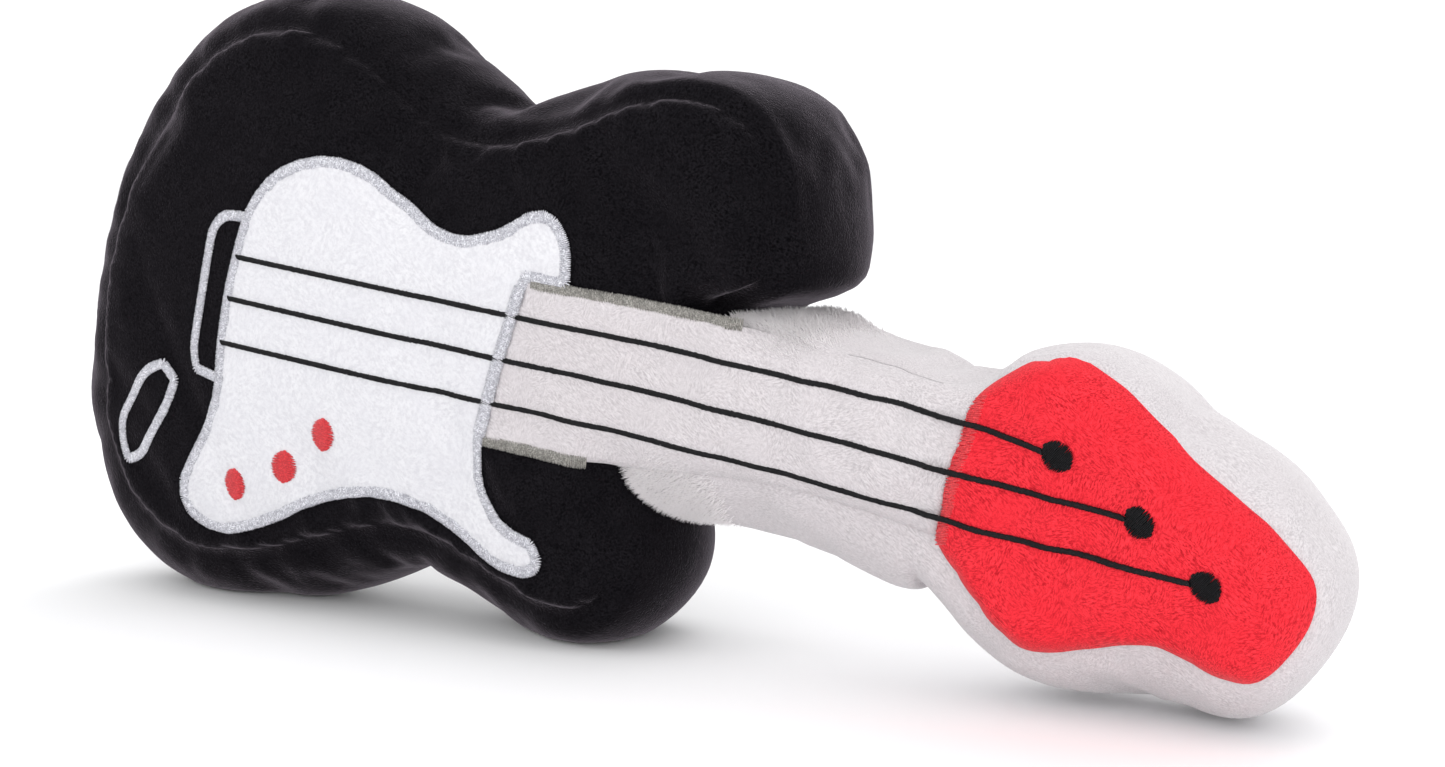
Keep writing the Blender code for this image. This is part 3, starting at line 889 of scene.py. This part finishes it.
embroider("pickguardBorder", pickguardOutline, onEdge, silverThread, closed=True, Width=0.0044)
bridgeLine = rounded([shareOfBody(*place) for place in bridge["path"]], bridge["step"], bridge["soften"])
embroider("bridgeOutline", bridgeLine, onPlush, silverThread, Width=bridge["Width"])
jackLine = rounded([shareOfBody(*place) for place in jack["path"]], closed=True)
embroider("jackOutline", jackLine, onPlush, silverThread, closed=True, Width=jack["Width"])
for number in (1, 2, 3):
    box = patternBox(f"knob_dot_{number}")
    middle = (box[0] + box[1]) / 2 + Vector(knob["shift"])
    radius = knob["radius"]
    ends = [Vector((middle.x, middle.y - radius)), Vector((middle.x, middle.y + radius))]
    embroider(f"knobDot{number}", ends, onPatch, redThread, Width=radius * knob["width"],
              Seed=knob["seed"] + number, **knob["stitch"])
low, high = patternBox("neck_end_stitching")
line = [Vector((low.x + neckEnd["inset"], low.y)), Vector((high.x - neckEnd["inset"], high.y))]
embroider("neckEndStitching", line, onPatch + neckEnd["lift"], silverThread, Width=neckEnd["Width"])
for side in ("upper", "lower"):
    low, high = patternBox(f"{side}_neck_edge_stitching")
    height = neckBox[1].y - neckEdge["inset"] if side == "upper" else neckBox[0].y + neckEdge["inset"]
    line = [Vector((low.x - neckEdge["past"], height)), Vector((high.x - neckEdge["short"], height))]
    embroider(f"{side}NeckEdge", line, onEdge, greyThread, **neckEdge["stitch"])
line = [Vector((nutBox[0].x + nut["inset"], nutBox[0].y - nut["past"])),
        Vector((nutBox[1].x - nut["inset"], nutBox[1].y + nut["past"]))]
embroider("nutStitching", line, onPatch + nut["lift"], redThread, **nut["stitch"])
for number in (1, 2, 3):
    box = patternBox(f"tuner_dot_{number}")
    middle = (box[0] + box[1]) / 2
    radius = tuner["radius"]
    way = Vector((radius * cos(tuner["turn"]), radius * sin(tuner["turn"])))
    embroider(f"tunerDot{number}", [middle.xy - way, middle.xy + way], headShape["thickness"] + tuner["lift"],
              blackThread, Width=radius * 2, Seed=tuner["seed"] + number, **tuner["stitch"])
for number in (1, 2, 3):
    line = rounded(centreLine(f"string_{number}"), string["step"], string["soften"])
    embroider(f"string{number}", line, 0, blackThread, Seed=string["seed"] + number, **string["stitch"])
    # each string climbs on to the thicker pile of the head
    mesh = pieces[f"string{number}"].data
    places = readPlaces(mesh)
    start, end = (nutBox[0].x - before for before in string["climb"])
    climb = headShape["thickness"] - patchShape["thickness"] + string["lift"]
    for i, place in enumerate(places):
        places[i, 2] += onPatch + climb * smoothStep(place[0], start, end)
    writePlaces(mesh, places)
print("embroidered:", sum(len(piece.data.polygons) for piece in pieces.values()), "faces")


tuft = dict(sides=3, tip=0.12, root=0.5, lengths=(0.55, 1.15), lengthSeed=5.0)


def makePileTree():
    # stroked-up pile, where the grey cloth bulges over the body
    tree = newTree("strokedPile", ("Density", "Length", "Width", "Spread"))
    add, math, deliver = nodeMaker(tree)
    given = tree.nodes.new("NodeGroupInput").outputs
    fluff = add("GeometryNodeInputNamedAttribute", {"Name": "fluff"}, {"data_type": "FLOAT"}).outputs[0]
    density = math("MULTIPLY", given["Density"], fluff)
    scatter = add("GeometryNodeDistributePointsOnFaces", {"Mesh": given["Geometry"], "Seed": given["Seed"],
                                                          "Density": density})
    stroke = add("GeometryNodeInputNamedAttribute", {"Name": "stroke"},
                 {"data_type": "FLOAT_VECTOR"}).outputs[0]
    stray = add("FunctionNodeRandomValue", {0: (-1, -1, -1), 1: (1, 1, 1), "Seed": given["Seed"]},
                {"data_type": "FLOAT_VECTOR"}).outputs[0]
    stray = add("ShaderNodeVectorMath", {0: stray, "Scale": given["Spread"]},
                {"operation": "SCALE"}).outputs[0]
    way = add("ShaderNodeVectorMath", {0: stroke, 1: stray}, {"operation": "ADD"}).outputs[0]
    facing = add("FunctionNodeAlignRotationToVector", {"Vector": way}, {"axis": "Z"}).outputs[0]
    lengthSeed = math("ADD", given["Seed"], tuft["lengthSeed"])
    shortest, longest = tuft["lengths"]
    length = add("FunctionNodeRandomValue", {2: shortest, 3: longest, "Seed": lengthSeed},
                 {"data_type": "FLOAT"}).outputs[1]
    size = add("ShaderNodeCombineXYZ", {0: given["Width"], 1: given["Width"],
                                        2: math("MULTIPLY", given["Length"], length)}).outputs[0]
    single = add("GeometryNodeMeshCone", {"Vertices": tuft["sides"], "Radius Top": tuft["tip"],
                                          "Radius Bottom": tuft["root"], "Depth": 1.0},
                 {"fill_type": "NONE"}).outputs[0]
    tufts = add("GeometryNodeInstanceOnPoints", {"Points": scatter.outputs["Points"], "Instance": single,
                                                 "Rotation": facing, "Scale": size}).outputs[0]
    deliver(tufts, given["Finish"])
    return tree


pileTree = makePileTree()
pile = dict(Density=5e6, Length=0.0026, Width=0.00024, Spread=0.45, Seed=11)
lobes = [dict(x=0.268, y=0.030, reach=0.017), dict(x=0.236, y=-0.032, reach=0.018)]
stroked = dict(edge=1.3, fade=(0.0, 0.8), depth=(-0.030, 0.005), rise=0.55, back=-0.75, aside=0.25, out=0.1)
# the strands get a lighter copy of the grey plush: painted light, so the self-shadowed tufts read as bright
# as lit fibres
pileLightenedFinish = plushFinish("greyPilePaintedLight", plush | dict(
    roots=(0.74, 0.71, 0.72), tips=(0.88, 0.85, 0.86), stroked=(0.80, 0.77, 0.78), bump=0.0, sheen=0.5))


def growPile(form, name):
    base = bpy.data.objects.new(name, form.data.copy())
    scene.collection.objects.link(base)
    base.data.materials.clear()
    fluff, strokes = [], []
    for vertex in base.data.vertices:
        place = vertex.co
        amount = 0
        for lobe in lobes:
            near = hypot(place.x - lobe["x"], place.y - lobe["y"]) / lobe["reach"]
            amount = max(amount, smoothStep(stroked["edge"] - near, *stroked["fade"])
                         * smoothStep(place.z, *stroked["depth"]))
        fluff.append(amount)
        aside = stroked["aside"] if place.y > 0 else -stroked["aside"]
        strokes.extend(vertex.normal * stroked["rise"] + Vector((stroked["back"], aside, stroked["out"])))
    base.data.attributes.new("fluff", "FLOAT", "POINT").data.foreach_set("value", fluff)
    base.data.attributes.new("stroke", "FLOAT_VECTOR", "POINT").data.foreach_set("vector", strokes)
    return runTree(base, pileTree, pile, pileLightenedFinish)


rootPile = growPile(grey, "neckRootPile")
print("pile stroked up:", len(rootPile.data.polygons), "faces")

# The neck and head pieces are cut in two across the neck at this place.
splitX = 0.306


def splitAcross(piece, names):
    # the two parts meet edge to edge and keep the whole piece's shading
    whole = bmesh.new()
    whole.from_mesh(piece.data)
    bmesh.ops.bisect_plane(whole, geom=whole.verts[:] + whole.edges[:] + whole.faces[:], dist=1e-7,
                           plane_co=(splitX, 0, 0), plane_no=(1, 0, 0))
    whole.normal_update()
    halves = []
    for name, side in zip(names, (-1, 1)):
        used, faces = {}, []
        for face in whole.faces:
            if (face.calc_center_median().x - splitX) * side > 0:
                faces.append([used.setdefault(vert, len(used)) for vert in face.verts])
        half = makePiece(name, [vert.co for vert in used], faces)
        half.data.materials.append(next(finish for finish in piece.data.materials if finish))
        half.data.normals_split_custom_set_from_vertices([vert.normal for vert in used])
        halves.append(half)
    whole.free()
    bpy.data.objects.remove(piece)
    return halves


def attach(piece, how, nodes):
    # from the pattern's place to the toy's, then on to its body; root and head-end pieces stay in place
    # without one
    piece.data.transform(toWorld)
    if how == "root":
        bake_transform(piece)
    elif how == "headEnd":
        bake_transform(piece)
    else:
        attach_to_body(piece, how)
    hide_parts(*nodes)


body.data.materials.append(blackPlush)
grey.data.materials.append(greyPlush)
neckNodes = ["neck_back_panel", "neck_upper_side_band", "neck_lower_side_band", "neck_stuffing"]
headNodes = ["head_back_panel", "head_side_band", "head_stuffing"]
attach(body, "body", ["body_front_panel", "body_back_panel", "body_lower_side_band",
                                     "body_upper_side_band", "body_stuffing"])
neckForm, headForm = splitAcross(grey, ("neckPlush", "headPlush"))
attach(neckForm, "root", neckNodes)
attach(headForm, "headEnd", neckNodes + headNodes)
attach(rootPile, "root", ["neck_upper_side_band", "neck_lower_side_band"])
neckLower, neckUpper = splitAcross(neckPatch, ("neckFrontPanelBodyEnd", "neckFrontPanelHeadEnd"))
attach(neckLower, "root", ["neck_front_panel"])
attach(neckUpper, "headEnd", ["neck_front_panel"])
attach(headPatch, "headEnd", ["head_front_panel"])
attach(pickguard, "body", ["pickguard_applique"])
for name, node in (("pickguardBorder", "pickguard_border_stitching"),
                   ("bridgeOutline", "bridge_outline_stitching"),
                   ("jackOutline", "jack_outline_stitching"),
                   ("neckEndStitching", "neck_end_stitching"),
                   ("upperNeckEdge", "upper_neck_edge_stitching"),
                   ("lowerNeckEdge", "lower_neck_edge_stitching")):
    attach(pieces[name], "body", [node])
attach(pieces["nutStitching"], "headEnd", ["nut_stitching"])
for number in (1, 2, 3):
    attach(pieces[f"knobDot{number}"], "body", [f"knob_dot_{number}"])
    attach(pieces[f"tunerDot{number}"], "head", [f"tuner_dot_{number}"])
    ends = splitAcross(pieces[f"string{number}"], (f"string{number}BodyEnd", f"string{number}HeadEnd"))
    attach(ends[0], "root", [f"string_{number}"])
    attach(ends[1], "headEnd", [f"string_{number}"])
print("pieces attached")

scene.view_settings.view_transform = "Standard"  # whites stay white and the reds clean
stageValues = dict(floorSize=8.0, floorDrop=0.0006, shadeScale=3.0, floorDark=(0.90, 0.90, 0.91),
                   floorLight=(0.92, 0.92, 0.93), worldStrength=1.12)
bpy.ops.mesh.primitive_plane_add(size=stageValues["floorSize"], location=(0, 0, -stageValues["floorDrop"]))
floor = bpy.context.object
floor.name = "floor"
floorFinish = Finish("paleFloor", Roughness=0.9, Specular_IOR_Level=0.1)
floorPlace = floorFinish.add("ShaderNodeTexCoord", output=3)
floorShade = floorFinish.noise(floorPlace, stageValues["shadeScale"], 2)
floor.data.materials.append(floorFinish.feed(Base_Color=floorFinish.mixColour(
    floorShade, stageValues["floorDark"], stageValues["floorLight"])))

world = bpy.data.worlds.new("studio")
scene.world = world
world.use_nodes = True
world.node_tree.nodes["Background"].inputs["Color"].default_value = (1, 1, 1, 1)
world.node_tree.nodes["Background"].inputs["Strength"].default_value = stageValues["worldStrength"]

lights = {
    "overhead": dict(place=(0.1, -0.1, 1.3), aim=(0, 0, 0.05), size=1.6, power=3.5),
    "backSoftbox": dict(place=(0.0, 1.1, 1.2), aim=(0, 0, 0.1), size=1.2, power=6),
    "leftSoftbox": dict(place=(-1.2, -1.0, 0.9), aim=(0, 0, 0.1), size=1.0, power=2.5),
    "rightSoftbox": dict(place=(1.0, -1.2, 0.16), aim=(0.15, 0, 0.04), size=0.9, power=11.0),
}
for name, values in lights.items():
    lamp = bpy.data.lights.new(name, "AREA")
    lamp.shape = "DISK"
    lamp.size = values["size"]
    lamp.energy = values["power"]
    lampObject = bpy.data.objects.new(name, lamp)
    scene.collection.objects.link(lampObject)
    lampObject.location = values["place"]
    aim = Vector(values["aim"]) - Vector(values["place"])
    lampObject.rotation_euler = aim.to_track_quat("-Z", "Y").to_euler()

cameraValues = dict(place=(0.5842, 0.1401, 0.6310), turn=29.77, tilt=-7.34, roll=-0.1, lens=56.9)
camera = bpy.data.objects.new("camera", bpy.data.cameras.new("camera"))
scene.collection.objects.link(camera)
camera.data.lens = cameraValues["lens"]
camera.location = toWorld @ Vector(cameraValues["place"])
camera.rotation_euler = (Matrix.Rotation(radians(cameraValues["turn"]), 3, "Z")
                         @ Matrix.Rotation(radians(90 + cameraValues["tilt"]), 3, "X")
                         @ Matrix.Rotation(radians(cameraValues["roll"]), 3, "Z")).to_euler()
scene.camera = camera
